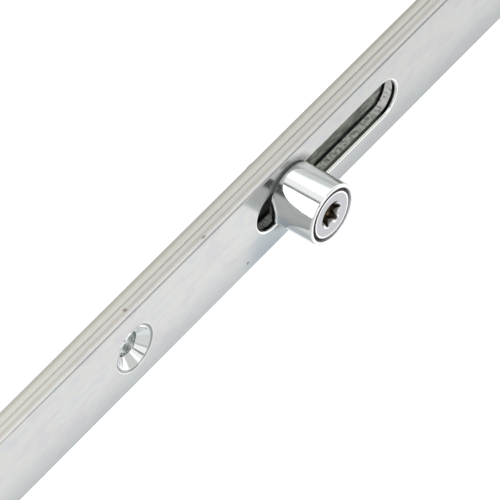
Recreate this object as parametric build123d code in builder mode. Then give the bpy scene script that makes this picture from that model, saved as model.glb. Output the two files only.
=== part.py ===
from build123d import *
import os

# A stretch of a multipoint door lock's bar, as it stands upright in the edge of a door.
# +Z runs up the bar, -Y points out of the door's edge, X runs across the faceplate.
# The origin is where the axis of the stud's neck meets the faceplate's front face. Millimetres.

# Faceplate
plate_width = 20.0
plate_thickness = 3.0
plate_top = 112.0
plate_front_round = 0.6
plate_back_chamfer = 0.25
plate_end_margin = 2.0

# Drive rod behind the faceplate
rod_side_inset = 1.0
rod_thickness = 2.5
rod_gap = 0.4
rod_edge_round = 0.4
rod_end_margin = 8.0

# Clearance of turning and seated pieces
running_gap = 0.03
seat_gap = 0.03

# Cam roller: a sleeve with a pocket in its front for the stud's end disc
roller_diameter = 13.5
roller_sleeve_wall = 1.75
roller_rim_wall = 0.8
roller_front_chamfer = 0.45
roller_bottom_chamfer = 0.3
roller_bottom_gap = 0.3
cam_height = 10.75

# Cam stud, from its end disc in front to its tail behind the rod
head_ring_gap = 0.45
head_thickness = 2.0
head_recess = 0.1
head_chamfer = 0.35
head_axial_play = 0.1
eccentricity = 0.8
journal_margin = 0.17
neck_shoulder = 1.0
neck_shoulder_gap = 0.05
shank_shoulder = 0.5
groove_depth = 0.5
tail_length = 4.3
tail_chamfer = 0.5

# Six-lobed key socket in the stud's end disc
socket_diameter = 5.6
socket_core_diameter = 4.0
socket_flute_radius = 1.2
socket_lobes = 6
socket_depth = 2.4
socket_lead_in = 0.25

# Cam slot through the faceplate
slot_length = 44.2
slot_top = 10.0
slot_edge_break = 0.15
neck_side_gap = 0.475
neck_stop_gap = 0.2

# Dished washer and open clip behind the rod
washer_band = 2.5
washer_thickness = 0.5
washer_dish = 0.35
clip_overhang = 2.5
clip_thickness = 0.7
clip_band = 1.8
clip_prong_width = 1.6
clip_prongs = 3
clip_mouth = 3.4

# Flared guide bushes at the screw holes
upper_screw_height = 48.1
screw_spacing = 127.0
screw_clearance_diameter = 5.5
spigot_wall = 0.95
flare_reach = 1.8
flare_thickness = 0.5
flare_setback = 0.4
sleeve_shoulder = 0.6
sleeve_side_gap = 0.2
flange_overhang = 2.2
flange_thickness = 1.2
flange_chamfer = 0.25
rod_back_play = 0.1

# Plastic slide discs between the faceplate and the rod
disc_thickness = 0.3

# Radii of the roller and the stud, worked inwards from the roller's outside
roller_radius = roller_diameter / 2
pocket_radius = roller_radius - roller_rim_wall
head_radius = pocket_radius - head_ring_gap
roller_bore_radius = roller_radius - roller_sleeve_wall
journal_radius = roller_bore_radius - running_gap
neck_radius = journal_radius - journal_margin - eccentricity
shank_radius = neck_radius - neck_shoulder
tail_radius = shank_radius - shank_shoulder
groove_radius = tail_radius - groove_depth
lead_in_radius = socket_diameter / 2 + socket_lead_in

# Radii of the washer, the clip and the guide bushes
washer_bore_radius = shank_radius + running_gap
washer_radius = washer_bore_radius + washer_band
clip_radius = tail_radius + clip_overhang
clip_seat_radius = groove_radius + running_gap
screw_radius = screw_clearance_diameter / 2
spigot_radius = screw_radius + spigot_wall
countersink_radius = spigot_radius + flare_reach
sleeve_radius = spigot_radius + sleeve_shoulder
flange_radius = sleeve_radius + flange_overhang

# Widths that the turned pieces set in the strips
slot_width = 2 * (neck_radius + neck_side_gap)
rod_width = plate_width - 2 * rod_side_inset
rod_slot_width = 2 * (sleeve_radius + sleeve_side_gap)

# Levels along Y, counted from the faceplate's front face into the door
head_front = -cam_height + head_recess
head_back = head_front + head_thickness
pocket_floor = head_back + head_axial_play
lead_in_end = head_front + lead_in_radius - socket_core_diameter / 2
journal_end = -roller_bottom_gap
rod_front = plate_thickness + rod_gap
neck_end = rod_front - neck_shoulder_gap
rod_back = rod_front + rod_thickness
washer_front = rod_back + seat_gap
washer_back = washer_front + washer_thickness + washer_dish
clip_front = washer_back + seat_gap
clip_back = clip_front + clip_thickness
groove_back = clip_back + seat_gap
tail_end = rod_back + tail_length
flange_front = rod_back + rod_back_play
flange_back = flange_front + flange_thickness
disc_back = plate_thickness + seat_gap + disc_thickness

# Travel of the drive rod, stopped by the stud's neck at either end of the cam slot
slot_bottom = slot_top - slot_length
neck_reach = neck_radius + neck_stop_gap
travel_up = slot_top - neck_reach
travel_down = -neck_reach - slot_bottom

# Places along the bar; the rod's slots pass the guide bushes over the whole travel
screw_heights = {"upper": upper_screw_height, "lower": upper_screw_height - screw_spacing}
rod_slot_length = travel_up + travel_down + rod_slot_width
rod_slot_shift = (travel_down - travel_up) / 2
rod_top = plate_top - travel_up - plate_end_margin
rod_bottom = screw_heights["lower"] + rod_slot_shift - rod_slot_length / 2 - rod_end_margin
plate_bottom = rod_bottom - travel_down - plate_end_margin


def level(y):
    """Plane across the bar at depth y, facing out of the door, with X across and Z up."""
    return Plane.XZ.offset(-y)


def side_plane(z, x=0):
    """Plane through a turning axis at height z, x off the centre line, drawn as radius and depth."""
    return Plane(origin=(x, 0, z))


def turning_axis(z, x=0):
    """Axis square to the faceplate at height z, x off the bar's centre line."""
    return Axis((x, 0, z), (0, 1, 0))


os.makedirs("parts", exist_ok=True)


# Faceplate: flat strip with rounded front long edges, the cam slot and the screw holes
plate_height = plate_top - plate_bottom
plate_middle = (plate_top + plate_bottom) / 2
slot_middle = (slot_top + slot_bottom) / 2

with BuildPart() as faceplate:
    with BuildSketch(level(plate_thickness)):
        with Locations((0, plate_middle)):
            Rectangle(plate_width, plate_height)
    extrude(amount=plate_thickness)
    long_edges = faceplate.edges().filter_by(Axis.Z)
    front_long_edges = long_edges.group_by(Axis.Y)[0]
    back_long_edges = long_edges.group_by(Axis.Y)[-1]
    fillet(front_long_edges, radius=plate_front_round)
    chamfer(back_long_edges, length=plate_back_chamfer)

    # The cam slot, with its front rim broken
    with BuildSketch(level(plate_thickness)):
        with Locations((0, slot_middle)):
            SlotOverall(slot_length, slot_width, rotation=90)
    extrude(amount=plate_thickness, mode=Mode.SUBTRACT)
    front_edges = faceplate.edges().group_by(Axis.Y)[0]
    slot_rim = front_edges.filter_by(
        lambda e: abs(e.center().X) <= slot_width / 2 and slot_bottom <= e.center().Z <= slot_top
    )
    chamfer(slot_rim, length=slot_edge_break)

    # The screw holes, each a straight hole for the bush's spigot under a 90 degree countersink
    with Locations(*[Plane(origin=(0, 0, z), z_dir=(0, -1, 0)) for z in screw_heights.values()]):
        CounterSinkHole(
            radius=spigot_radius,
            counter_sink_radius=countersink_radius,
            counter_sink_angle=90,
        )

faceplate.part.label = "faceplate"
export_step(faceplate.part, "parts/faceplate.step")


# Drive rod: flat bar with the stud's hole and a slot for each guide bush
rod_height = rod_top - rod_bottom
rod_middle = (rod_top + rod_bottom) / 2

with BuildPart() as drive_rod:
    with BuildSketch(level(rod_back)):
        with Locations((0, rod_middle)):
            Rectangle(rod_width, rod_height)
        with Locations(*[(0, z + rod_slot_shift) for z in screw_heights.values()]):
            SlotOverall(rod_slot_length, rod_slot_width, rotation=90, mode=Mode.SUBTRACT)
        Circle(shank_radius + running_gap, mode=Mode.SUBTRACT)
    extrude(amount=rod_thickness)
    outer_edges = drive_rod.edges().filter_by(Axis.Z).filter_by(
        lambda e: abs(e.center().X) > rod_width / 2 - rod_edge_round
    )
    fillet(outer_edges, radius=rod_edge_round)

drive_rod.part.label = "drive_rod"
export_step(drive_rod.part, "parts/drive_rod.step")


# Cam stud: the end disc and journal turn about the roller's axis, which lies off the neck's
# to one side of the bar, and the rest turns about the neck's
with BuildPart() as cam_stud:
    with BuildSketch(side_plane(0, eccentricity)):
        with BuildLine():
            Polyline(
                (0, head_front),
                (head_radius - head_chamfer, head_front),
                (head_radius, head_front + head_chamfer),
                (head_radius, head_back),
                (journal_radius, head_back),
                (journal_radius, journal_end),
                (0, journal_end),
                close=True,
            )
        make_face()
    revolve(axis=turning_axis(0, eccentricity))

    with BuildSketch(side_plane(0)):
        with BuildLine():
            Polyline(
                (0, journal_end),
                (neck_radius, journal_end),
                (neck_radius, neck_end),
                (shank_radius, neck_end),
                (shank_radius, washer_back),
                (groove_radius, washer_back),
                (groove_radius, groove_back),
                (tail_radius, groove_back),
                (tail_radius, tail_end - tail_chamfer),
                (tail_radius - tail_chamfer, tail_end),
                (0, tail_end),
                close=True,
            )
        make_face()
    revolve(axis=turning_axis(0))

    # The key socket: six lobes between round flutes, under a 45 degree lead-in
    with BuildSketch(level(head_front + socket_depth)):
        with Locations((eccentricity, 0)):
            Circle(socket_diameter / 2)
            with PolarLocations(socket_core_diameter / 2 + socket_flute_radius, socket_lobes):
                Circle(socket_flute_radius, mode=Mode.SUBTRACT)
    extrude(amount=socket_depth, mode=Mode.SUBTRACT)

    with BuildSketch(side_plane(0, eccentricity)):
        with BuildLine():
            Polyline(
                (0, head_front),
                (lead_in_radius, head_front),
                (socket_core_diameter / 2, lead_in_end),
                (0, lead_in_end),
                close=True,
            )
        make_face()
    revolve(axis=turning_axis(0, eccentricity), mode=Mode.SUBTRACT)

cam_stud.part.label = "cam_stud"
export_step(cam_stud.part, "parts/cam_stud.step")


# Cam roller: sleeve that spins on the journal, with a pocket for the stud's end disc
with BuildPart() as cam_roller:
    with BuildSketch(side_plane(0, eccentricity)):
        with BuildLine():
            Polyline(
                (roller_bore_radius, journal_end),
                (roller_radius - roller_bottom_chamfer, journal_end),
                (roller_radius, journal_end - roller_bottom_chamfer),
                (roller_radius, -cam_height + roller_front_chamfer),
                (roller_radius - roller_front_chamfer, -cam_height),
                (pocket_radius, -cam_height),
                (pocket_radius, pocket_floor),
                (roller_bore_radius, pocket_floor),
                close=True,
            )
        make_face()
    revolve(axis=turning_axis(0, eccentricity))

cam_roller.part.label = "cam_roller"
export_step(cam_roller.part, "parts/cam_roller.step")


# Dished washer: presses on the rod with its rim and on the clip with its inner edge
with BuildPart() as cam_spring_washer:
    with BuildSketch(side_plane(0)):
        with BuildLine():
            Polyline(
                (washer_bore_radius, washer_front + washer_dish),
                (washer_radius, washer_front),
                (washer_radius, washer_front + washer_thickness),
                (washer_bore_radius, washer_back),
                close=True,
            )
        make_face()
    revolve(axis=turning_axis(0))

cam_spring_washer.part.label = "cam_spring_washer"
export_step(cam_spring_washer.part, "parts/cam_spring_washer.step")


# Open clip: band with inward prongs that seat in the stud's groove, its mouth downwards
prong_length = clip_radius - clip_band / 2

with BuildPart() as cam_retaining_clip:
    with BuildSketch(level(clip_back)):
        Circle(clip_radius)
        Circle(clip_radius - clip_band, mode=Mode.SUBTRACT)
        with PolarLocations(prong_length / 2, clip_prongs, start_angle=90):
            Rectangle(prong_length, clip_prong_width)
        Circle(clip_seat_radius, mode=Mode.SUBTRACT)
        with Locations((0, -clip_radius)):
            Rectangle(clip_mouth, 2 * clip_radius, mode=Mode.SUBTRACT)
    extrude(amount=clip_thickness)

cam_retaining_clip.part.label = "cam_retaining_clip"
export_step(cam_retaining_clip.part, "parts/cam_retaining_clip.step")


# Guide bushes: one at each screw hole, flared into the countersink and flanged behind the rod.
# The flare lies at 45 degrees, so its inner face goes as far in radius as in depth.
flare_lip_radius = countersink_radius - flare_setback
flare_step = flare_thickness / 2**0.5
flare_inner_radius = flare_lip_radius - flare_step
flare_front = flare_setback - flare_step
cone_end = flare_front + flare_inner_radius - screw_radius

for position, height in screw_heights.items():
    with BuildPart() as guide_bush:
        with BuildSketch(side_plane(height)):
            with BuildLine():
                Polyline(
                    (screw_radius, cone_end),
                    (flare_inner_radius, flare_front),
                    (flare_lip_radius, flare_setback),
                    (spigot_radius, flare_reach),
                    (spigot_radius, plate_thickness),
                    (sleeve_radius, plate_thickness),
                    (sleeve_radius, flange_front),
                    (flange_radius, flange_front),
                    (flange_radius, flange_back - flange_chamfer),
                    (flange_radius - flange_chamfer, flange_back),
                    (screw_radius + flange_chamfer, flange_back),
                    (screw_radius, flange_back - flange_chamfer),
                    close=True,
                )
            make_face()
        revolve(axis=turning_axis(height))
    guide_bush.part.label = f"guide_bush_{position}"
    export_step(guide_bush.part, f"parts/guide_bush_{position}.step")


# Slide discs: thin plastic rings round the bushes that keep the rod off the faceplate
for position, height in screw_heights.items():
    with BuildPart() as slide_disc:
        with BuildSketch(level(disc_back)):
            with Locations((0, height)):
                Circle(flange_radius)
                Circle(sleeve_radius + running_gap, mode=Mode.SUBTRACT)
        extrude(amount=disc_thickness)
    slide_disc.part.label = f"slide_disc_{position}"
    export_step(slide_disc.part, f"parts/slide_disc_{position}.step")


print("travel up and down:", round(travel_up, 3), round(travel_down, 3))
print("faceplate from", round(plate_bottom, 3), "to", plate_top)
print("drive rod from", round(rod_bottom, 3), "to", round(rod_top, 3))
print("screw bore from", round(cone_end, 3), "to", round(flange_back - flange_chamfer, 3))
print("roller wall from", round(-cam_height + roller_front_chamfer, 3),
      "to", round(journal_end - roller_bottom_chamfer, 3))
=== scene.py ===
# %% [markdown]
# # A stretch of a door lock's bar, dressed for its picture
# The object is a steel strip from the edge of a door, with a second strip that slides behind it and a
# roller that locks into the door frame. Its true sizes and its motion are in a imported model. This script
# loads and measures that model, and gives each piece the shape and finish that the eye expects of plated
# steel. Lengths are in metres, +Z runs up the bar and -Y points out of the door.

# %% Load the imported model
import bmesh
import bpy
import math
from mathutils import Euler, Matrix, Vector, noise


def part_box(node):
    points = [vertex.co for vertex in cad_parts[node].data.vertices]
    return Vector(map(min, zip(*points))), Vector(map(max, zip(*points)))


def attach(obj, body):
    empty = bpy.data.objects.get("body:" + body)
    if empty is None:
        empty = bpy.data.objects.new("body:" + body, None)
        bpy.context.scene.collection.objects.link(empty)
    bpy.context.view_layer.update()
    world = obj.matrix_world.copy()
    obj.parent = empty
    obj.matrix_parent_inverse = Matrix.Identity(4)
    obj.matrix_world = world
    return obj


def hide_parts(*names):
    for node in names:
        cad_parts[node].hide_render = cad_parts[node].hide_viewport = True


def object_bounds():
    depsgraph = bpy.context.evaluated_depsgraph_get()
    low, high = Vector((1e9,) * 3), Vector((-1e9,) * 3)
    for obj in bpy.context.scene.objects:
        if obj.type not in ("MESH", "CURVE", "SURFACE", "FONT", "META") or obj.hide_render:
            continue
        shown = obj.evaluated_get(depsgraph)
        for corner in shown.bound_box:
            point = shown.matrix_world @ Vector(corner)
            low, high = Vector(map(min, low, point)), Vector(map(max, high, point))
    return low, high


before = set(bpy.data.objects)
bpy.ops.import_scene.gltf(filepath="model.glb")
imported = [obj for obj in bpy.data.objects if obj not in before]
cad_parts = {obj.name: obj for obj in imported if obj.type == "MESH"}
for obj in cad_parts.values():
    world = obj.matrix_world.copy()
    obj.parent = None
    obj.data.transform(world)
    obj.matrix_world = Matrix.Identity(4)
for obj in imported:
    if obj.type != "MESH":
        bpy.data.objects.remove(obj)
cad_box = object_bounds()
MM = 0.001
print("pieces in the model:", sorted(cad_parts))
print("its box in mm:", [[round(v / MM, 1) for v in corner] for corner in cad_box])

# %% [markdown]
# ## The camera
# The photograph was taken with a long lens from well back, so the bar hardly tapers. The camera stands
# to the right of the bar, above the roller, and is rolled so that the bar runs from corner to corner.
# Three angles say this more plainly than a matrix would. The lens makes a millimetre of bar as long as
# in the photograph.

# %% Camera at the photograph's angle
camera_round = math.radians(59.18)
camera_up = math.radians(28.12)
camera_roll = math.radians(-135.04)
camera_distance = 1250 * MM
camera_aim = Vector((-6.09, 1.0, 12.02)) * MM


def new_object(name, data):
    """Put an object with this data into the scene."""
    thing = bpy.data.objects.new(name, data)
    bpy.context.scene.collection.objects.link(thing)
    return thing


camera_data = bpy.data.cameras.new("photo_camera")
camera_data.lens = 458.4
camera_data.clip_start = 10 * MM
camera_data.clip_end = 30.0
camera = new_object("photo_camera", camera_data)
bpy.context.scene.camera = camera
level_turn = Euler((math.pi / 2 - camera_up, 0.0, camera_round)).to_matrix()
camera_turn = level_turn @ Matrix.Rotation(camera_roll, 3, "Z")
towards_camera = camera_turn @ Vector((0, 0, 1))
camera_place = camera_aim + towards_camera * camera_distance
camera.matrix_world = Matrix.Translation(camera_place) @ camera_turn.to_4x4()
print("camera stands along", [round(v, 3) for v in towards_camera])

# %% [markdown]
# ## Two small helpers for every material
# Colours are written as sRGB hex values, but the shader works in linear light, so one function converts
# them. The other adds a node, sets its properties and feeds its sockets, each from a value or from
# another node's output. With these two a material reads as a short recipe.

# %% Colour and node helpers
bpy.context.scene.view_settings.view_transform = "Standard"


def linear(hex_colour):
    """A hex colour such as "#d8dad8" as linear red, green, blue and alpha."""
    channels = [int(hex_colour[i:i + 2], 16) / 255 for i in (1, 3, 5)]
    return [c / 12.92 if c <= 0.04045 else ((c + 0.055) / 1.055) ** 2.4 for c in channels] + [1.0]


def add_node(tree, kind, feeds=None, stops=None, **settings):
    """Add a node with its settings; feeds gives sockets a value or another node's output."""
    node = tree.nodes.new(kind)
    for setting, value in settings.items():
        setattr(node, setting, value)
    for socket, value in (feeds or {}).items():
        if isinstance(value, bpy.types.NodeSocket):
            tree.links.new(value, node.inputs[socket])
        else:
            node.inputs[socket].default_value = value
    for index, (place, hex_colour) in enumerate(stops or []):
        if index >= len(node.color_ramp.elements):
            node.color_ramp.elements.new(place)
        node.color_ramp.elements[index].position = place
        node.color_ramp.elements[index].color = linear(hex_colour)
    return node


print("mid grey in linear light:", round(linear("#808080")[0], 3))

# %% [markdown]
# ## The studio's tones
# Polished metal shows the room. This one is a white studio, written as two rings of tones round the Y
# axis. On a ring, 0.5 is the right side, 0.75 straight up, 0 and 1 the left side, and 0.25 straight down.
# The first ring has white sheets with a grey joint on the right, a grey strip and a pale grey ceiling
# above, and a darker left side. The second is for rays that slant to the front. Its dark panel gives the
# roller its grey side.

# %% Two rings of tones
world = bpy.data.worlds.new("studio")
bpy.context.scene.world = world
world.use_nodes = True
sky = world.node_tree
sky.nodes.clear()
direction = add_node(sky, "ShaderNodeSeparateXYZ",
                     {0: add_node(sky, "ShaderNodeTexCoord").outputs["Generated"]})
ring_angle = add_node(sky, "ShaderNodeMath", {0: direction.outputs["Z"], 1: direction.outputs["X"]},
                      operation="ARCTAN2")
ring_place = add_node(sky, "ShaderNodeMapRange",
                      {"Value": ring_angle.outputs[0], "From Min": -math.pi, "From Max": math.pi})
studio_ring = add_node(sky, "ShaderNodeValToRGB", {"Fac": ring_place.outputs[0]}, stops=[
    (0.0, "#b9bdc1"), (0.5, "#ffffff"), (0.534, "#ffffff"), (0.547, "#8a8d8c"), (0.579, "#8a8d8c"),
    (0.592, "#ffffff"), (0.7, "#ffffff"), (0.712, "#b4b7b6"), (0.728, "#b4b7b6"), (0.742, "#dcdfdc"),
    (0.88, "#dcdfdc"), (0.915, "#b9bdc1")])
front_ring = add_node(sky, "ShaderNodeValToRGB", {"Fac": ring_place.outputs[0]}, stops=[
    (0.0, "#e6e9ec"), (0.5, "#ffffff"), (0.562, "#ffffff"), (0.58, "#505453"), (0.655, "#666a69"),
    (0.68, "#dddedd"), (0.885, "#dddedd"), (0.915, "#e8ebee")])
slant = add_node(sky, "ShaderNodeMapRange", {"Value": direction.outputs["Y"], "From Min": -1.0})
in_front = add_node(sky, "ShaderNodeValToRGB", {"Fac": slant.outputs[0]}, stops=[
    (0.0, "#000000"), (0.175, "#000000"), (0.2, "#ffffff"), (0.4, "#ffffff"), (0.44, "#000000")])
room = add_node(sky, "ShaderNodeMix", data_type="RGBA",
                feeds={"Factor": in_front.outputs["Color"], "A": studio_ring.outputs["Color"],
                       "B": front_ring.outputs["Color"]})
print("tones on the rings:", len(studio_ring.color_ramp.elements), len(front_ring.color_ramp.elements))

# %% [markdown]
# ## Who sees what
# Only mirror-like rays see the rings. The camera sees plain white behind the object, and matt surfaces
# get an even light at which a colour renders about as it is written. The Light Path node tells these
# rays apart. The floor needs the same test.

# %% World shader


def ray_kinds(tree):
    """Two sockets that are 1 for camera rays and for mirror-like rays."""
    paths = add_node(tree, "ShaderNodeLightPath")
    mirror_like = add_node(tree, "ShaderNodeMath", operation="MAXIMUM", feeds={
        0: paths.outputs["Is Glossy Ray"], 1: paths.outputs["Is Transmission Ray"]})
    return paths.outputs["Is Camera Ray"], mirror_like.outputs[0]


white = linear("#ffffff")
sky_camera, sky_mirror = ray_kinds(sky)
even_light = add_node(sky, "ShaderNodeBackground", {"Color": white, "Strength": 0.62})
mirrored = add_node(sky, "ShaderNodeBackground", {"Color": room.outputs["Result"]})
backdrop = add_node(sky, "ShaderNodeBackground", {"Color": white})
lit = add_node(sky, "ShaderNodeMixShader", {0: sky_mirror, 1: even_light.outputs[0], 2: mirrored.outputs[0]})
seen = add_node(sky, "ShaderNodeMixShader", {0: sky_camera, 1: lit.outputs[0], 2: backdrop.outputs[0]})
add_node(sky, "ShaderNodeOutputWorld", {"Surface": seen.outputs[0]})
print("world nodes:", len(sky.nodes))

# %% [markdown]
# ## The floor
# The bar stands on its end on a pale sheet. A sheet that is only lit would look grey beside the white
# studio, so most of its white is a glow that the camera and the mirrors see. The rest is diffuse light.

# %% Pale floor
floor_half = 3.0
floor_gap = 0.4 * MM
floor_z = cad_box[0][2] - floor_gap
floor_data = bpy.data.meshes.new("studio_floor")
floor_corners = [(x * floor_half, y * floor_half, floor_z) for x, y in ((-1, -1), (1, -1), (1, 1), (-1, 1))]
floor_data.from_pydata(floor_corners, [], [(0, 1, 2, 3)])
floor = new_object("studio_floor", floor_data)
floor_paint = bpy.data.materials.new("matt_white_card")
floor_paint.use_nodes = True
sheet = floor_paint.node_tree
sheet.nodes.clear()
sheet_camera, sheet_mirror = ray_kinds(sheet)
sheet_seen = add_node(sheet, "ShaderNodeMath", {0: sheet_mirror, 1: sheet_camera}, operation="MAXIMUM")
sheet_glow = add_node(sheet, "ShaderNodeEmission", {"Color": white, "Strength": 0.72})
no_glow = add_node(sheet, "ShaderNodeEmission", {"Color": linear("#000000"), "Strength": 0.0})
glow = add_node(sheet, "ShaderNodeMixShader", {0: sheet_seen.outputs[0], 1: no_glow.outputs[0],
                                               2: sheet_glow.outputs[0]})
sheet_diffuse = add_node(sheet, "ShaderNodeBsdfDiffuse", {"Color": linear("#a8a8a8")})
sheet_sum = add_node(sheet, "ShaderNodeAddShader", {0: glow.outputs[0], 1: sheet_diffuse.outputs[0]})
add_node(sheet, "ShaderNodeOutputMaterial", {"Surface": sheet_sum.outputs[0]})
floor_data.materials.append(floor_paint)
print("floor lies at", round(floor_z / MM, 2), "mm")

# %% [markdown]
# ## The lamps
# Two large soft boxes stand high on the bar's right and face the roller. The metal mirrors the window
# box, behind the bar, like a bright window. The top box, in front, only lights the matt part of each
# finish. Both throw their shadows outside the photograph's frame.

# %% Soft boxes
for name, place, size, watts, is_mirrored in (("window_box", (0.72, 0.54, 0.80), 0.9, 7.0, True),
                                              ("top_box", (0.50, -0.38, 1.25), 1.1, 13.0, False)):
    lamp_data = bpy.data.lights.new(name, "AREA")
    lamp_data.size = size
    lamp_data.energy = watts
    lamp = new_object(name, lamp_data)
    lamp.location = place
    lamp.rotation_euler = Vector(place).to_track_quat("Z", "Y").to_euler()
    lamp.visible_camera = False
    lamp.visible_glossy = is_mirrored
    print(name, "gives", watts, "watts")

# %% [markdown]
# ## Cards on the table
# In a white studio, polished metal needs something darker to mirror, or its roundings vanish into its
# flats, so a photographer lays grey card on the table. These cards are wedges that start near the bar,
# because the mirrored rays fan out from there. The two on the right tone the bar's long side, the one in
# front its rounded front edge and the roller's underside, the one behind the rod's back edge, and the
# one on the left whatever faces half left. Only mirror-like rays meet them.

# %% Cards that only the mirrors see, with corners as x, y in mm
card_height = floor_z + 0.5 * MM
mirror_cards = (
    ("grey_card_in_front", "#d6d6d4", [(-15, -105), (-60, -420), (400, -420), (400, -160), (108, -43)]),
    ("grey_card_behind", "#cbc8c1", [(8, 20), (-160, 440), (260, 440)]),
    ("pale_card_right", "#bfc3c1", [(14, 14), (300, 270), (90, 330)]),
    ("paler_card_right", "#d6d9d9", [(14, 8), (340, 203), (300, 270), (14, 14)]),
    ("pale_card_left", "#a3a8ad", [(-20, 10), (-500, -60), (-500, 320)]),
)
for name, tone, corners in mirror_cards:
    card_data = bpy.data.meshes.new(name)
    card_data.from_pydata([(x * MM, y * MM, card_height) for x, y in corners], [],
                          [tuple(range(len(corners)))])
    card_paint = bpy.data.materials.new(name)
    card_paint.use_nodes = True
    card_paint.node_tree.nodes.clear()
    plain = add_node(card_paint.node_tree, "ShaderNodeEmission", {"Color": linear(tone)})
    add_node(card_paint.node_tree, "ShaderNodeOutputMaterial", {"Surface": plain.outputs[0]})
    card_data.materials.append(card_paint)
    card_piece = new_object(name, card_data)
    for way in ("camera", "diffuse", "shadow", "transmission"):
        setattr(card_piece, f"visible_{way}", False)
    print(name, "has", len(corners), "corners")

# %% [markdown]
# ## Skinning rings
# Every piece of this lock is turned, punched or rolled, so it can be described as rings that follow each
# other: round a roller, or down the wall of a slot. One function skins neighbouring rings with quads. It
# does a lathe's or a loft's work, and lets points be moved, say to roughen a torn edge.

# %% Rings, skins and finished pieces
ring_count = 192
sharp_from = math.radians(32)


def round_ring(radius, depth, side=0.0, height=0.0, count=ring_count):
    """Points of a circle about a turning axis at side and height."""
    turns = [2 * math.pi * i / count for i in range(count)]
    return [(side + radius * math.sin(a), depth, height + radius * math.cos(a)) for a in turns]


def skin(mesh, rings, closed=False, material=0):
    """Join rings by quads; material is one number, or a list with one for each pair of rings."""
    rows = [[mesh.verts.new(point) for point in ring] for ring in rings]
    pairs = list(zip(rows, rows[1:]))
    if closed:
        pairs.append((rows[-1], rows[0]))
    numbers = material if isinstance(material, list) else [material] * len(pairs)
    for (first, second), number in zip(pairs, numbers):
        for i in range(len(first)):
            k = (i + 1) % len(first)
            mesh.faces.new((first[i], first[k], second[k], second[i])).material_index = number
    return rows


def close_disc(mesh, row, centre, material=0):
    """Close a ring with a fan of triangles about a centre point."""
    middle = mesh.verts.new(centre)
    for i, vertex in enumerate(row):
        mesh.faces.new((vertex, row[(i + 1) % len(row)], middle)).material_index = material


def finish_piece(node, mesh, body, materials):
    """Make the mesh a piece that rides on its body in place of the model's plain node."""
    name = f"{node}_dressed"
    bmesh.ops.remove_doubles(mesh, verts=mesh.verts, dist=0.0005 * MM)
    bmesh.ops.recalc_face_normals(mesh, faces=mesh.faces)
    data = bpy.data.meshes.new(name)
    mesh.to_mesh(data)
    mesh.free()
    for material in materials:
        data.materials.append(material)
    data.shade_smooth()
    data.set_sharp_from_angle(angle=sharp_from)
    piece = new_object(name, data)
    weighted = piece.modifiers.new("even_shading", "WEIGHTED_NORMAL")
    weighted.keep_sharp = True
    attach(piece, body)
    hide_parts(node)
    print(name, "has", len(data.polygons), "faces")


# %% [markdown]
# ## Rounded profiles
# A turned piece is one profile swung round its axis. A drawing gives the profile as corners, but on a
# real piece the tool leaves each a little round, and that round catches the light. This function swaps
# each corner for a short curve.

# %% Profiles with rounded corners
round_steps = 5


def rounded(corners):
    """Corner points (radius, depth, rounding) to profile points with each corner rounded."""
    points = []
    for i, (radius, depth, rounding) in enumerate(corners):
        corner = Vector((radius, depth))
        if rounding == 0:
            points.append(corner)
            continue
        before = Vector(corners[i - 1][:2]) - corner
        after = Vector(corners[(i + 1) % len(corners)][:2]) - corner
        reach = rounding / math.tan(before.angle(after) / 2)
        reach = min(reach, before.length * 0.49, after.length * 0.49)
        start = corner + before.normalized() * reach
        end = corner + after.normalized() * reach
        for k in range(round_steps + 1):
            t = k / round_steps
            points.append(start * (1 - t) ** 2 + corner * 2 * t * (1 - t) + end * t ** 2)
    return points


def in_mm(*corners):
    """Corners written in millimetres, in metres."""
    return [tuple(value * MM for value in corner) for corner in corners]


print("two rounded corners have", len(rounded(in_mm((1, 0, 0.2), (2, 0, 0.2), (2, 1, 0)))), "points")

# %% [markdown]
# ## Bare metal and its grain
# Each finish below starts as bare metal: a Principled shader with Metallic at 1 and the default IOR.
# Noise makes it rolled, torn or turned. Stretched along the bar it makes rolling lines, which are really
# about 0.05 mm apart. Here they are 0.35 mm, to show in the render.

# %% Metal, noise and relief


def metal_start(name, roughness):
    """A bare metal material: its tree, its shader and its object coordinates."""
    material = bpy.data.materials.new(name)
    material.use_nodes = True
    tree = material.node_tree
    tree.nodes.clear()
    shader = add_node(tree, "ShaderNodeBsdfPrincipled", {"Metallic": 1.0, "Roughness": roughness})
    add_node(tree, "ShaderNodeOutputMaterial", {"Surface": shader.outputs[0]})
    place = add_node(tree, "ShaderNodeTexCoord").outputs["Object"]
    return material, tree, shader, place


def stretched_noise(tree, place, across, deep, along, detail=3.0):
    """Noise whose grains measure across, deep and along the bar, in mm."""
    scale = [1 / (size * MM) for size in (across, deep, along)]
    mapping = add_node(tree, "ShaderNodeMapping", {"Vector": place, "Scale": scale})
    grains = add_node(tree, "ShaderNodeTexNoise",
                      {"Vector": mapping.outputs[0], "Scale": 1.0, "Detail": detail, "Roughness": 0.6})
    return grains.outputs["Fac"]


def relief(tree, shader, height, depth):
    """Feed a height through a bump of the given depth in mm."""
    bump = add_node(tree, "ShaderNodeBump", {"Height": height, "Distance": depth * MM})
    tree.links.new(bump.outputs[0], shader.inputs["Normal"])


def rolled_relief(tree, shader, place, depth):
    """Rolling lines along the bar and a fine grain, as a bump of depth mm."""
    lines = stretched_noise(tree, place, 0.35, 0.35, 30)
    grain = stretched_noise(tree, place, 0.25, 0.25, 0.6)
    both = add_node(tree, "ShaderNodeMath", {0: lines, 1: grain}, operation="ADD")
    relief(tree, shader, both.outputs[0], depth)


def plain_steel(name, tone, roughness, metallic=1.0):
    """Steel of one tone with a fine grain; less metallic where dried oil or scale covers it."""
    material, tree, shader, place = metal_start(name, roughness)
    shader.inputs["Base Color"].default_value = linear(tone)
    shader.inputs["Metallic"].default_value = metallic
    relief(tree, shader, stretched_noise(tree, place, 0.3, 0.3, 0.3), 0.002)
    return material


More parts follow.
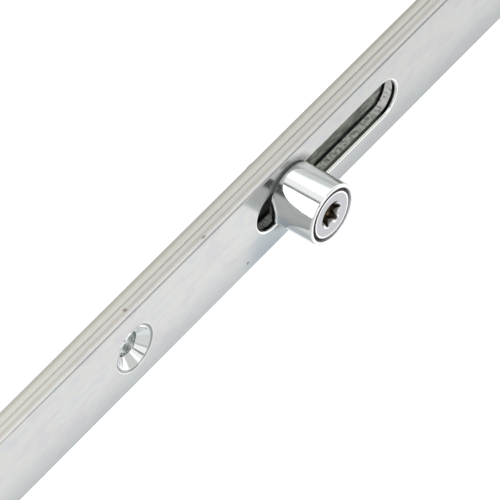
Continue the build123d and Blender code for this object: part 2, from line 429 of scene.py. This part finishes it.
# Painted highlight: the rolled rim is really burnished, and its tone is also painted far brighter than the
# face.
rubbed_rim_highlight = plain_steel("rubbed_zinc_rim_painted_highlight", "#f2f3f1", 0.10)
drilled_cone = plain_steel("zinc_on_drilled_cone", "#b4b7b4", 0.32)
print("plain finishes:", rubbed_rim_highlight.name, drilled_cone.name)

# %% [markdown]
# ## Spots, painted shade and grease
# No plated strip leaves the bath even, and some spots below are painted shade instead. A spot is a
# ball of influence: the distance to its centre, softly mapped, says how much of a tone is laid over the
# colour. Grease works the same way, but takes away some of the metal's mirror, and noise makes its rim
# uneven.

# %% Local changes of a finish


def distance_to(tree, place, centre):
    """Distance of each surface point from a centre given in mm."""
    away = add_node(tree, "ShaderNodeVectorMath", operation="DISTANCE",
                    feeds={0: place, 1: tuple(value * MM for value in centre)})
    return away.outputs["Value"]


def with_spots(tree, place, colour, spots):
    """Lay soft spots over a colour, each with a centre and inner and outer radius in mm, and a tone."""
    for centre, inner, outer, tone in spots:
        cover = add_node(tree, "ShaderNodeMapRange", interpolation_type="SMOOTHSTEP",
                         feeds={"Value": distance_to(tree, place, centre), "From Min": outer * MM,
                                "From Max": inner * MM})
        colour = add_node(tree, "ShaderNodeMix", data_type="RGBA", blend_type="MULTIPLY",
                          feeds={"Factor": cover.outputs[0], "A": colour,
                                 "B": linear(tone)}).outputs["Result"]
    return colour


def greasy_film(tree, shader, place, centre, inner, outer, bare_share):
    """Let a greasy film dull the metal's mirror round a centre; lengths in mm."""
    patches = stretched_noise(tree, place, 1.2, 1.2, 1.2)
    uneven = add_node(tree, "ShaderNodeMath", operation="MULTIPLY_ADD",
                      feeds={0: patches, 1: 2.4 * MM, 2: distance_to(tree, place, centre)})
    bare = add_node(tree, "ShaderNodeMapRange", {
        "Value": uneven.outputs[0], "From Min": inner * MM, "From Max": outer * MM, "To Min": bare_share})
    tree.links.new(bare.outputs[0], shader.inputs["Metallic"])


print("helpers for spots and grease are ready")

# %% [markdown]
# ## Zinc on rolled steel
# The strips are cold-rolled steel, electroplated with zinc and passivated. That gives the eye a pale,
# silky grey with faint blue, cream and lilac clouds from the passive film, long rolling lines, and a
# soft reflection of what stands near. Painted shade darkens the tone towards the left long edge, where
# a slight crown would turn from the light, and a little below the roller. The faceplate also has a bluish
# patch of painted shade beside the roller, a small pit, and a dull, greasy ring of painted shade at the
# roller.

# %% Zinc for the flat faces


def zinc(name, cloud_tones, edge_shade_tone, roughness, line_depth, spots=(), film=None):
    """Plated strip steel; painted shade takes the tone from the clouds to the edge tone at the left long
    edge.
    """
    material, tree, shader, place = metal_start(name, roughness)
    clouds = add_node(tree, "ShaderNodeValToRGB",
                      {"Fac": stretched_noise(tree, place, 4.5, 4.5, 9)}, stops=cloud_tones)
    axes = add_node(tree, "ShaderNodeSeparateXYZ", {0: place})
    # Painted shade: the tone fades to the darker edge tone towards the left long edge, where a crown would
    # turn from the light.
    edge_shade_share = add_node(tree, "ShaderNodeMapRange", interpolation_type="SMOOTHSTEP",
                        feeds={"Value": axes.outputs["X"], "From Min": 1 * MM, "From Max": -15 * MM})
    tone = add_node(tree, "ShaderNodeMix", data_type="RGBA",
                    feeds={"Factor": edge_shade_share.outputs[0], "A": clouds.outputs["Color"],
                           "B": linear(edge_shade_tone)})
    # Painted shade: below the roller the tone dims to 0.88 of itself.
    below = add_node(tree, "ShaderNodeMapRange", {"Value": axes.outputs["Z"], "From Min": 12 * MM,
                                                  "From Max": -14 * MM, "To Min": 1.0, "To Max": 0.88})
    dimmed = add_node(tree, "ShaderNodeMix", data_type="RGBA", blend_type="MULTIPLY",
                      feeds={"Factor": 1.0, "A": tone.outputs["Result"], "B": below.outputs[0]})
    tree.links.new(with_spots(tree, place, dimmed.outputs["Result"], spots), shader.inputs["Base Color"])
    if film:
        greasy_film(tree, shader, place, *film)
    rolled_relief(tree, shader, place, line_depth)
    return material


roller_centre = (0.8, 0, 0)
# Painted shade: a bluish darkening of the face beside the roller.
bluish_painted_shade = ((-7.5, 0, 8.0), 1.5, 9.0, "#e2eaef")
small_pit = ((-7.4, 0, 14.1), 0.15, 0.42, "#7c838c")
# Painted shade: the face darkens in a ring round the roller's foot, where a film of grease also dulls the
# mirror.
painted_shade_ring = (roller_centre, 6.9, 9.2, "#b9bcb9")
plate_zinc = zinc("bright_zinc_on_rolled_strip",
                  [(0.30, "#c3c7ca"), (0.48, "#cccdca"), (0.62, "#c6c4c8"), (0.75, "#cbccc7")],
                  "#a2a8ac", roughness=0.17, line_depth=0.0016,
                  spots=[bluish_painted_shade, small_pit, painted_shade_ring], film=(roller_centre, 8.0, 9.8, 0.25))
rod_zinc = zinc("zinc_on_rod_strip", [(0.30, "#babdba"), (0.50, "#c3c5c0"), (0.70, "#b8bab6")],
                "#b0b3b0", roughness=0.26, line_depth=0.006)
print("zinc faces:", plate_zinc.name, rod_zinc.name)

# %% [markdown]
# ## Slit edges
# A strip's long sides are cut by rolling knives, which leave bands along the edge: a smooth one, a duller
# one where the steel broke, and a burr. They read as fine parallel lines of warm grey. The bands follow
# the depth from the strip's front, and noise lets them waver.

# %% Zinc for the cut long sides


def slit_edge(name, front, back, bands, roughness, line_depth, spots=()):
    """A strip's cut long side, with tones in bands from front to back."""
    material, tree, shader, place = metal_start(name, roughness)
    axes = add_node(tree, "ShaderNodeSeparateXYZ", {0: place})
    waver = add_node(tree, "ShaderNodeMath", operation="MULTIPLY_ADD",
                     feeds={0: stretched_noise(tree, place, 1, 1, 6), 1: 0.5 * MM,
                            2: axes.outputs["Y"]})
    share = add_node(tree, "ShaderNodeMapRange", {"Value": waver.outputs[0], "From Min": front + 0.25 * MM,
                                                  "From Max": back + 0.25 * MM})
    tone = add_node(tree, "ShaderNodeValToRGB", {"Fac": share.outputs[0]}, stops=bands)
    tree.links.new(with_spots(tree, place, tone.outputs["Color"], spots), shader.inputs["Base Color"])
    rolled_relief(tree, shader, place, line_depth)
    return material


plate_edge = slit_edge("zinc_on_plate_slit_edge", 0.6 * MM, 3.0 * MM,
                       [(0.0, "#d1cfcb"), (0.10, "#d1cfcb"), (0.27, "#bcb8b2"), (0.42, "#bdbab4"),
                        (0.60, "#cfcdc8"), (0.90, "#c9c7c1")], roughness=0.34, line_depth=0.009,
                       spots=[((10, 0.6, 24.6), 0.2, 0.8, "#b5b2ab"),
                              ((10, 1.7, 47.7), 0.2, 0.65, "#bcb4ab")])
rod_edge = slit_edge("zinc_on_rod_slit_edge", 3.4 * MM, 5.9 * MM,
                     [(0.0, "#ccc8c0"), (0.30, "#d1cec6"), (0.55, "#ccc9c1"), (0.70, "#b8b4ac")],
                     roughness=0.40, line_depth=0.012,
                     spots=[((10, 4.57, 78.36), 0.2, 0.7, "#96928a")])
print("slit edges:", plate_edge.name, rod_edge.name)

# %% [markdown]
# ## The wall of a punched slot
# The punch first rolls the slot's front rim inwards, which leaves a rubbed line all round, glossy and
# painted brighter as a highlight. Then it shears a short glossy band. Over the rest of the thickness
# the steel tears into dull, steep grains.
# The slot's rings follow that from front to back: a small round, a straight wall, then a wall that opens
# slightly and is pushed in and out by noise.

# %% Outline of a slot and its torn wall
plate_thickness = 3.0 * MM
slot_half_width = 4.475 * MM
slot_low = -34.2 * MM
slot_high = 10.0 * MM
rim_width = 0.50 * MM
rim_depth = 0.45 * MM
sheared_depth = 1.15 * MM
tear_opening = 0.10 * MM
tear_height = 0.07 * MM
tear_length = 0.55 * MM
tear_growth = 0.5 * MM
FACE, RIM, SHEARED, TORN, EDGE = range(5)


def slot_points(low, high, radius, arc_steps, side_steps):
    """Outline of a slot with round ends, as (x, z, outward x, outward z)."""
    points = []
    for centre, start in ((high - radius, -math.pi / 2), (low + radius, math.pi / 2)):
        for i in range(arc_steps):
            angle = start + math.pi * i / arc_steps
            out_x, out_z = math.sin(angle), math.cos(angle)
            points.append((radius * out_x, centre + radius * out_z, out_x, out_z))
        side = 1 if start < 0 else -1
        run = (high - low - 2 * radius) / side_steps
        for i in range(side_steps):
            points.append((side * radius, centre - side * run * i, side, 0.0))
    return points


def torn(x, z, depth):
    """How far the torn wall opens at a point, growing from the end of the sheared band."""
    share = min(max((depth - sheared_depth) / tear_growth, 0.0), 1.0)
    spot = Vector((x / tear_length, depth / (2.2 * MM), z / tear_length))
    fine = Vector((x / tear_length, depth / (0.7 * MM), z / tear_length)) * 2.3
    return share * (tear_opening + tear_height * (noise.noise(spot) + 0.5 * noise.noise(fine)))


def punched_wall(mesh, points, thickness, front=0.0, rim_steps=5, torn_steps=9):
    """Skin the wall of a punched slot, from its rolled rim to its torn back edge."""
    rings = []
    for k in range(rim_steps + 1):
        angle = math.pi / 2 * k / rim_steps
        growth = rim_width * (1 - math.sin(angle))
        depth = front + rim_depth * (1 - math.cos(angle))
        rings.append([(x + growth * ox, depth, z + growth * oz) for x, z, ox, oz in points])
    for k in range(torn_steps + 1):
        depth = sheared_depth + (thickness - sheared_depth) * k / torn_steps
        rings.append([(x + torn(x, z, depth) * ox, front + depth, z + torn(x, z, depth) * oz)
                      for x, z, ox, oz in points])
    return skin(mesh, rings, material=[RIM] * rim_steps + [SHEARED] + [TORN] * torn_steps)


slot_outline = slot_points(slot_low, slot_high, slot_half_width, arc_steps=60, side_steps=130)
print("slot outline points:", len(slot_outline))

# %% [markdown]
# ## Sheared and torn steel
# The sheared band is burnished by the punch, so it is glossy and mirrors the dark inside of the slot.
# The torn band's broken grains scatter the light, so it is barely metallic and rough, grey-green with
# pale crests. Over the slot's far round end a blend by height paints shade on the sheared band, nearly
# black, and paints light on the torn one, pale with lit streaks through the thickness.

# %% Finishes of the punched wall
end_blend = (slot_low + 6.5 * MM, slot_low + 4.0 * MM)


def towards_end(tree, place, along_tone, painted_end_tone):
    """A tone that holds along the cam slot and turns to a painted end tone over its far round end."""
    axes = add_node(tree, "ShaderNodeSeparateXYZ", {0: place})
    share = add_node(tree, "ShaderNodeMapRange", {"Value": axes.outputs["Z"], "From Min": end_blend[0],
                                                  "From Max": end_blend[1]})
    return add_node(tree, "ShaderNodeMix", data_type="RGBA",
                    feeds={"Factor": share.outputs[0], "A": along_tone, "B": painted_end_tone}).outputs["Result"]


sheared_steel, tree, shader, place = metal_start("glossy_sheared_steel", 0.14)
# Painted shade: over the slot's far round end the sheared band turns nearly black.
tree.links.new(towards_end(tree, place, linear("#878a83"), linear("#30322f")), shader.inputs["Base Color"])

torn_steel, tree, shader, place = metal_start("torn_steel", 0.60)
shader.inputs["Metallic"].default_value = 0.25
torn_grain = stretched_noise(tree, place, 0.5, 0.9, 0.7)
torn_tone = add_node(tree, "ShaderNodeValToRGB", {"Fac": torn_grain},
                     stops=[(0.34, "#8f9289"), (0.46, "#cdd0c9"), (0.60, "#f4f6f0")])
# Painted light: over the far round end the torn wall turns pale, with white lit streaks.
painted_lit_streaks = add_node(tree, "ShaderNodeValToRGB", stops=[(0.40, "#aeb1a6"), (0.52, "#ffffff")],
                        feeds={"Fac": stretched_noise(tree, place, 0.8, 3, 0.8)})
tree.links.new(towards_end(tree, place, torn_tone.outputs["Color"], painted_lit_streaks.outputs["Color"]),
               shader.inputs["Base Color"])
relief(tree, shader, torn_grain, 0.05)
print("punched finishes:", sheared_steel.name, torn_steel.name)

# %% [markdown]
# ## The body of a strip
# Both strips are long flat bars whose front long edges the rolls have rounded. A box with boolean
# cut-outs would do, but those leave ragged edges that shade badly. Here the four sides are skinned as
# rings, each opening brings rings of its own, and the front and back are filled between them.

# %% Sides and faces of a strip


def outline_ring(half_width, low, high, depth):
    """The four corners of the strip at one depth."""
    return [(-half_width, depth, low), (half_width, depth, low), (half_width, depth, high),
            (-half_width, depth, high)]


def fill_faces(mesh, sides, openings, front_material=FACE):
    """Fill the strip's front and back between its sides and its openings."""
    for end, material in ((0, front_material), (-1, FACE)):
        rows = [rings[end] for rings in [sides] + openings]
        edges = [mesh.edges.get((row[i], row[(i + 1) % len(row)])) for row in rows for i in range(len(row))]
        filled = bmesh.ops.triangle_fill(mesh, edges=edges, use_beauty=True, use_dissolve=False)
        for face in filled["geom"]:
            if isinstance(face, bmesh.types.BMFace):
                face.material_index = material


def strip_edge(mesh, half_width, low, high, front, back, front_round, back_round, back_steps):
    """Skin the strip's four sides, rounded in front and rounded or chamfered at the back."""
    front_steps, end_round = 6, 0.12 * MM
    rings = []
    for k in range(front_steps + 1):
        angle = math.pi / 2 * k / front_steps
        inset = front_round * (1 - math.sin(angle))
        end_inset = min(inset, end_round)
        depth = front + front_round * (1 - math.cos(angle))
        rings.append(outline_ring(half_width - inset, low + end_inset, high - end_inset, depth))
    for k in range(back_steps + 1):
        angle = math.pi / 2 * k / back_steps
        inset = back_round * (1 - math.cos(angle))
        depth = back - back_round * (1 - math.sin(angle))
        rings.append(outline_ring(half_width - inset, low, high, depth))
    return skin(mesh, rings, material=[FACE] * front_steps + [EDGE] * (back_steps + 1))


print("a strip has", len(outline_ring(1, 0, 1, 0)), "sides")

# %% [markdown]
# ## The faceplate
# This strip shows in the edge of the door, 20 mm wide and 3 mm thick. Its openings are the cam slot and
# two screw holes, each a straight hole under a 90 degree countersink. The countersinks were drilled
# before plating, so their cone is a little duller than the face round it.

# %% Faceplate
DRILLED = 5
plate_low, plate_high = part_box("faceplate")
screw_heights = {"upper": 48.1 * MM, "lower": -78.9 * MM}
countersink = rounded(in_mm((5.75, 0.0, 0), (5.5, 0.0, 0.2), (3.7, 1.8, 0.15), (3.7, 3.0, 0)))
countersink_finish = [FACE] + [RIM] * round_steps + [DRILLED] * (len(countersink) - round_steps - 2)

plate_mesh = bmesh.new()
plate_sides = strip_edge(plate_mesh, plate_high[0], plate_low[2], plate_high[2], 0.0, plate_thickness,
                         front_round=0.6 * MM, back_round=0.25 * MM, back_steps=1)
plate_openings = [punched_wall(plate_mesh, slot_outline, plate_thickness)]
for height in screw_heights.values():
    rings = [round_ring(radius, depth, 0.0, height, count=96) for radius, depth in countersink]
    plate_openings.append(skin(plate_mesh, rings, material=countersink_finish))
fill_faces(plate_mesh, plate_sides, plate_openings)
finish_piece("faceplate", plate_mesh, "lock_bar",
             [plate_zinc, rubbed_rim_highlight, sheared_steel, torn_steel, plate_edge, drilled_cone])

# %% [markdown]
# ## The rod's rubbed front face
# At the bottom of the cam slot the rod shows its rubbed front: short scratches from sliding, faint rings
# where the stud was seated, and painted shade round the stud, under the roller. The rings are noise of
# one dimension, fed with the distance from the stud's axis, which is the Y axis.

# %% Rubbed steel with painted shade


def from_axis(tree, place, side=0.0, height=0.0):
    """Distance of each surface point from a turning axis at side and height."""
    centred = add_node(tree, "ShaderNodeMapping", {"Vector": place, "Location": (-side, 0, -height),
                                                   "Scale": (1, 0, 1)})
    away = add_node(tree, "ShaderNodeVectorMath", {0: centred.outputs[0]}, operation="LENGTH")
    return away.outputs["Value"]


rubbed_rod, tree, shader, place = metal_start("rubbed_rod_face_with_painted_shade", 0.28)
scratches = stretched_noise(tree, place, 0.45, 0.45, 2.5, detail=2.0)
scratch_tone = add_node(tree, "ShaderNodeValToRGB", {"Fac": scratches},
                        stops=[(0.36, "#868a83"), (0.50, "#a8aca5"), (0.64, "#d0d3cc")])
from_stud = from_axis(tree, place)
# Painted shade: the face darkens to 0.35 of its tone within 8.5 mm of the stud, under the roller.
grease_and_shade = add_node(tree, "ShaderNodeMapRange", {"Value": from_stud, "From Min": 8.5 * MM,
                                               "From Max": 11.5 * MM, "To Min": 0.35})
shaded_scratch_tone = add_node(tree, "ShaderNodeMix", data_type="RGBA", blend_type="MULTIPLY",
                        feeds={"Factor": 1.0, "A": scratch_tone.outputs["Color"], "B": grease_and_shade.outputs[0]})
tree.links.new(shaded_scratch_tone.outputs["Result"], shader.inputs["Base Color"])
seat_rings = add_node(tree, "ShaderNodeTexNoise", noise_dimensions="1D",
                      feeds={"W": from_stud, "Scale": 1 / (0.5 * MM), "Detail": 1.0})
rubbed_marks = add_node(tree, "ShaderNodeMath", {0: scratches, 1: seat_rings.outputs["Fac"]},
                        operation="ADD")
relief(tree, shader, rubbed_marks.outputs[0], 0.012)
print("rubbed face:", rubbed_rod.name)

# %% [markdown]
# ## The drive rod
# The lock case pushes this flat bar up and down behind the faceplate. It shows as the second layer of
# the bar's side and in the cam slot. The same kinds of ring make it: an outline, two long slots that
# pass the guide bushes, and the hole that carries the roller's stud.

# %% Drive rod
RUBBED = 5
rod_low, rod_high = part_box("drive_rod")
rod_front, rod_back = rod_low[1], rod_high[1]
rod_slot_radius = 4.5 * MM
rod_slot_reach = 44.8 / 2 * MM
rod_slot_shift = 12.1 * MM
stud_hole = ((3.15 * MM, rod_front), (3.03 * MM, rod_front + 0.12 * MM), (3.03 * MM, rod_back))

rod_mesh = bmesh.new()
rod_sides = strip_edge(rod_mesh, rod_high[0], rod_low[2], rod_high[2], rod_front, rod_back,
                       front_round=0.4 * MM, back_round=0.4 * MM, back_steps=5)
rod_openings = []
for height in screw_heights.values():
    middle = height + rod_slot_shift
    outline = slot_points(middle - rod_slot_reach, middle + rod_slot_reach, rod_slot_radius,
                          arc_steps=40, side_steps=60)
    rod_openings.append(punched_wall(rod_mesh, outline, rod_back - rod_front, rod_front))
hole_rings = [round_ring(radius, depth, count=96) for radius, depth in stud_hole]
rod_openings.append(skin(rod_mesh, hole_rings, material=SHEARED))
fill_faces(rod_mesh, rod_sides, rod_openings, front_material=RUBBED)
finish_piece("drive_rod", rod_mesh, "rod",
             [rod_zinc, rubbed_rim_highlight, sheared_steel, torn_steel, rod_edge, rubbed_rod])

# %% [markdown]
# ## Bright plated steel
# The roller and the stud are turned on a lathe and plated with bright nickel. The roller's wall is
# polished, so it mirrors the studio and the faceplate almost cleanly. The stud's end disc keeps the fine
# rings of the facing tool, which spread a highlight into a soft, slightly lilac sheen, inside a
# burnished rim. The rings are about 0.03 mm apart in life and 0.2 mm here, to show in a close view.

# %% Nickel for turned pieces


def turned_nickel(name, tone, roughness, ring_pitch, ring_depth, side=0.0, height=0.0, spots=()):
    """Turned and plated steel, its tool rings ring_pitch apart and ring_depth deep, in mm."""
    material, tree, shader, place = metal_start(name, roughness)
    shader.inputs["Base Color"].default_value = linear(tone)
    if spots:
        tree.links.new(with_spots(tree, place, linear(tone), spots), shader.inputs["Base Color"])
    axes = add_node(tree, "ShaderNodeSeparateXYZ", {0: place})
    travel = add_node(tree, "ShaderNodeMath", operation="ADD",
                      feeds={0: from_axis(tree, place, side, height), 1: axes.outputs["Y"]})
    groove = add_node(tree, "ShaderNodeTexNoise", noise_dimensions="1D",
                      feeds={"W": travel.outputs[0], "Scale": 1 / (ring_pitch * MM), "Detail": 2.0})
    smudge = stretched_noise(tree, place, 2.5, 2.5, 2.5)
    marks = add_node(tree, "ShaderNodeMath", {0: groove.outputs["Fac"], 1: smudge}, operation="ADD")
    relief(tree, shader, marks.outputs[0], ring_depth)
    gloss = add_node(tree, "ShaderNodeMapRange", {"Value": smudge, "From Min": 0.3, "From Max": 0.7,
                                                  "To Min": roughness * 0.7, "To Max": roughness * 1.4})
    tree.links.new(gloss.outputs[0], shader.inputs["Roughness"])
    return material


roller_side = 0.8 * MM
roller_nickel = turned_nickel("polished_nickel_roller", "#eceeee", 0.09, 0.25, 0.0006, side=roller_side)
stud_nickel = turned_nickel("faced_nickel_stud", "#b9b9be", 0.20, 0.20, 0.002, side=roller_side)
burnished_nickel = turned_nickel("burnished_nickel_chamfer", "#f4f4f6", 0.12, 0.25, 0.0005,
                                 side=roller_side)
print("nickel finishes:", roller_nickel.name, stud_nickel.name, burnished_nickel.name)

# %% [markdown]
# ## Oil and painted shade in the recesses
# Polishing never reaches the gap round the end disc or the key socket. The gap's outer wall keeps a
# pale, matt film of dried oil, and the disc's chamfer and side get painted shade, which rings the disc with
# a thin line.
# The pressed socket gets painted shade that deepens with depth, and a brown tinge at its floor.

# %% Oily finishes and painted shade
dried_oil = plain_steel("oily_unpolished_gap", "#d8d7dc", 0.45, metallic=0.20)
# Painted shade: a dark finish for the disc's chamfer foot, side and journal, down in the gap.
painted_gap_shade = plain_steel("painted_shade_on_disc_side", "#57514f", 0.50)
socket_steel, tree, shader, place = metal_start("pressed_socket_with_painted_shade", 0.34)
axes = add_node(tree, "ShaderNodeSeparateXYZ", {0: place})
# Painted shade: the socket's tone darkens with depth; its floor has a brown tinge.
socket_shade_by_depth = add_node(tree, "ShaderNodeMapRange", {
    "Value": axes.outputs["Y"], "From Min": -10.6 * MM, "From Max": -8.4 * MM})
socket_shade_tone = add_node(tree, "ShaderNodeValToRGB", {"Fac": socket_shade_by_depth.outputs[0]},
                       stops=[(0.0, "#b9b9bb"), (0.3, "#77756f"), (0.8, "#5d564d"), (1.0, "#b7a68e")])
tree.links.new(socket_shade_tone.outputs["Color"], shader.inputs["Base Color"])
print("oily finishes:", dried_oil.name, painted_gap_shade.name, socket_steel.name)

# %% [markdown]
# ## The roller
# The roller is a sleeve that turns on the stud when it runs in behind the strike plate. Its profile is
# closed, so the rings make one watertight sleeve with a pocket in its front. A Screw modifier could
# swing the profile too, but rings let each band have its own finish. The rounded outer rim is the
# brightest line in the photograph.

# %% Roller, its radii and depths in millimetres
roller_radius, roller_bore, pocket_radius = 6.75, 5.00, 5.95
roller_foot, pocket_floor, roller_front = -0.30, -8.55, -10.75
roller_profile = rounded(in_mm(
    (roller_bore, roller_foot, 0.05), (roller_radius, roller_foot, 0.28),
    (roller_radius, roller_front, 0.42), (pocket_radius, roller_front, 0.10),
    (pocket_radius, pocket_floor, 0.05), (roller_bore, pocket_floor, 0.05)))
POLISHED, OILY = 0, 1
pocket_start = next(i for i, (radius, depth) in enumerate(roller_profile)
                    if radius < (pocket_radius + 0.01) * MM and depth < (roller_front + 0.15) * MM)
roller_finish = [POLISHED if i < pocket_start else OILY for i in range(len(roller_profile))]
roller_mesh = bmesh.new()
roller_rings = [round_ring(radius, depth, roller_side, count=160) for radius, depth in roller_profile]
skin(roller_mesh, roller_rings, closed=True, material=roller_finish)
finish_piece("cam_roller", roller_mesh, "roller", [roller_nickel, dried_oil])

# %% [markdown]
# ## The key socket
# The socket has six lobes between round flutes, under a 45 degree lead-in that is burnished at its mouth
# and carries painted shade further in. A cone cuts a star in a scalloped line, so the ring where they meet
# takes its depth from its own radius at every angle. A boolean would find that line too, but would leave it
# ragged.

# %% Rings of the socket
socket_core = 2.0 * MM
socket_outer = 2.8 * MM
flute_radius = 1.2 * MM
lobe_softness = 0.22 * MM
lead_in_radius = 3.05 * MM
disc_front = -10.65 * MM


def star_radius(angle):
    """Distance from the axis to the socket's wall: six round flutes, joined softly to the lobes."""
    turn = (angle + math.pi / 6) % (math.pi / 3) - math.pi / 6
    flute_centre = socket_core + flute_radius
    inside = flute_radius ** 2 - (flute_centre * math.sin(turn)) ** 2
    if inside <= 0:
        return socket_outer
    flute = flute_centre * math.cos(turn) - math.sqrt(inside)
    share = min(max(0.5 + 0.5 * (socket_outer - flute) / lobe_softness, 0.0), 1.0)
    return socket_outer * (1 - share) + flute * share - lobe_softness * share * (1 - share)


def star_ring(depth=None, shrink=0.0):
    """A ring of the socket at one depth or, with none given, where the star meets the cone."""
    points = []
    for i in range(ring_count):
        angle = 2 * math.pi * i / ring_count
        star = star_radius(angle + math.pi / 2) - shrink
        y = disc_front + lead_in_radius - star if depth is None else depth
        points.append((roller_side + star * math.sin(angle), y, star * math.cos(angle)))
    return points


def lead_in_ring(share):
    """A ring on the cone, from its mouth (0) to its scalloped meeting with the star (1)."""
    mouth = round_ring(lead_in_radius, disc_front, roller_side)
    return [Vector(a).lerp(Vector(b), share) for a, b in zip(mouth, star_ring())]


socket_rings = [lead_in_ring(share) for share in (0.0, 0.25, 0.5, 0.75, 0.95)]
socket_rings += [star_ring(depth * MM, shrink * MM) for depth, shrink in (
    (-9.50, 0), (-8.55, 0), (-8.38, 0.08), (-8.30, 0.5))]
print("socket rings:", len(socket_rings), "of", len(socket_rings[0]), "points")

# %% [markdown]
# ## The stud
# One piece of steel carries the roller, passes through the slot and ends in a grooved tail behind the
# rod. Its front disc and journal are turned about the roller's axis, and the rest about an axis 0.8 mm
# to its left, so turning the key shifts the roller and sets how hard the door is pulled in. Two profiles
# swung about the two axes, skinned as one run of rings, make it.

# %% Eccentric stud, its radii and depths in millimetres
disc_face, disc_back, disc_radius, disc_chamfer = -10.65, -8.65, 5.5, 0.35
journal_radius, journal_end = 4.97, -0.30
face_start, bright_rim = 3.4, 4.82
neck_radius, neck_end, shank_radius = 4.0, 3.35, 3.0
groove_radius, groove_start, groove_end = 2.0, 6.78, 7.54
tail_radius, tail_chamfer, tail_end = 2.5, 0.5, 10.20
FACED, SOCKET, BURNISHED, DARK = range(4)
disc_profile = rounded(in_mm(
    (face_start, disc_face, 0), (bright_rim, disc_face, 0), (disc_radius - disc_chamfer, disc_face, 0.06),
    (disc_radius, disc_face + disc_chamfer, 0.06), (disc_radius, disc_back, 0.05),
    (journal_radius, disc_back, 0.05), (journal_radius, journal_end, 0)))
tail_profile = rounded(in_mm(
    (neck_radius, journal_end, 0), (neck_radius, neck_end, 0.1), (shank_radius, neck_end, 0.05),
    (shank_radius, groove_start, 0.06), (groove_radius, groove_start, 0.08),
    (groove_radius, groove_end, 0.08), (tail_radius, groove_end, 0.06),
    (tail_radius, tail_end - tail_chamfer, 0.25), (tail_radius - tail_chamfer, tail_end, 0.25),
    (1.4, tail_end, 0)))
# Past the bright rim, the disc's chamfer, side and journal take the painted gap shade.
disc_finish = [FACED if radius < (bright_rim - 0.01) * MM else
               BURNISHED if depth < (disc_face + 0.01) * MM else DARK for radius, depth in disc_profile]

stud_mesh = bmesh.new()
socket_rows = skin(stud_mesh, socket_rings, material=[BURNISHED] * 2 + [SOCKET] * 6)
close_disc(stud_mesh, socket_rows[-1], (roller_side, -8.27 * MM, 0), material=SOCKET)
stud_rings = [round_ring(lead_in_radius, disc_front, roller_side)]
stud_rings += [round_ring(radius, depth, roller_side) for radius, depth in disc_profile]
stud_rings += [round_ring(radius, depth) for radius, depth in tail_profile]
stud_finish = [FACED] + disc_finish + [FACED] * (len(tail_profile) - 1)
stud_rows = skin(stud_mesh, stud_rings, material=stud_finish)
close_disc(stud_mesh, stud_rows[-1], (0, tail_end * MM, 0))
finish_piece("cam_stud", stud_mesh, "stud",
             [stud_nickel, socket_steel, burnished_nickel, painted_gap_shade])

# %% [markdown]
# ## The guide bushes
# At each screw hole a bush of plated steel is flared into the countersink, and its sleeve passes through
# the rod's slot to a flange that holds the rod up against the faceplate. From the front only the bright
# pressed cone and the bore, with dark spots of painted shade, show. The flange was rumbled in a drum and is
# duller.

# %% Guide bushes, their radii and depths in millimetres
bush_bore, flare_lip, spigot_radius, sleeve_radius, flange_radius = 2.75, 5.10, 3.70, 4.30, 6.50
plate_back, flange_front, flange_back = 3.00, 6.00, 7.20
bush_profile = rounded(in_mm(
    (bush_bore, 2.04, 0.35), (4.75, 0.05, 0.12), (flare_lip, 0.40, 0.15), (spigot_radius, 1.80, 0.3),
    (spigot_radius, plate_back, 0.03), (sleeve_radius, plate_back, 0.1), (sleeve_radius, flange_front, 0.1),
    (flange_radius, flange_front, 0.15), (flange_radius, flange_back, 0.25), (bush_bore, flange_back, 0.25),
    (bush_bore, 2.65, 0)))
BRIGHT, RUMBLED = 0, 1
bush_finish = [RUMBLED if depth > (flange_front - 0.05) * MM else BRIGHT for radius, depth in bush_profile]
# Painted shade: dark spots on the bore's left wall, where the hole lies in shade.
bore_shade_places = ((-2.7, 3.35, -0.4), (-2.5, 3.25, 0.7), (-1.9, 3.15, 1.8))

for position, height in screw_heights.items():
    # Painted shade: the dark spots laid on the bore's left wall.
    oil = [((x, y, height / MM + z), 0.55, 1.0, "#2a2a29") for x, y, z in bore_shade_places]
    bush_nickel = turned_nickel(f"bright_nickel_{position}_bush", "#eef0f0", 0.09, 0.25, 0.0008,
                                height=height, spots=oil)
    flange_nickel = turned_nickel(f"rumbled_nickel_{position}_flange", "#c6c9c9", 0.24, 0.25, 0.0010,
                                  height=height)
    bush_mesh = bmesh.new()
    bush_rings = [round_ring(radius, depth, 0.0, height, count=112) for radius, depth in bush_profile]
    skin(bush_mesh, bush_rings, closed=True, material=bush_finish)
    finish_piece(f"guide_bush_{position}", bush_mesh, "lock_bar",
                 [bush_nickel, flange_nickel])

# %% [markdown]
# ## Spring steel and slide plastic
# Behind the rod a dished washer and an open clip hold the stud. Both are spring steel with a dark
# phosphate coat, which looks soft and slightly grainy. The slide discs are stamped from dark acetal
# sheet, whose IOR is 1.48. It looks nearly black, with a weak, broad sheen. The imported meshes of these
# nodes are right, so they only get a finish.

# %% Finishes for washer, clip and slide discs
spring_steel, tree, shader, place = metal_start("phosphated_spring_steel", 0.42)
spring_grain = stretched_noise(tree, place, 0.3, 0.3, 0.3)
spring_tone = add_node(tree, "ShaderNodeValToRGB", {"Fac": spring_grain},
                       stops=[(0.3, "#5b5d60"), (0.7, "#7b7d80")])
tree.links.new(spring_tone.outputs["Color"], shader.inputs["Base Color"])
relief(tree, shader, spring_grain, 0.01)

slide_plastic, tree, shader, place = metal_start("dark_acetal_sheet", 0.45)
shader.inputs["Metallic"].default_value = 0.0
shader.inputs["IOR"].default_value = 1.48
disc_tone = add_node(tree, "ShaderNodeValToRGB", stops=[(0.3, "#26272a"), (0.7, "#303236")],
                     feeds={"Fac": stretched_noise(tree, place, 0.4, 0.4, 0.4)})
tree.links.new(disc_tone.outputs["Color"], shader.inputs["Base Color"])

for node_name, finish in (("cam_spring_washer", spring_steel), ("cam_retaining_clip", spring_steel),
                          ("slide_disc_upper", slide_plastic), ("slide_disc_lower", slide_plastic)):
    node_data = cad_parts[node_name].data
    node_data.materials.clear()
    node_data.materials.append(finish)
    print(node_name, "is finished in", finish.name)
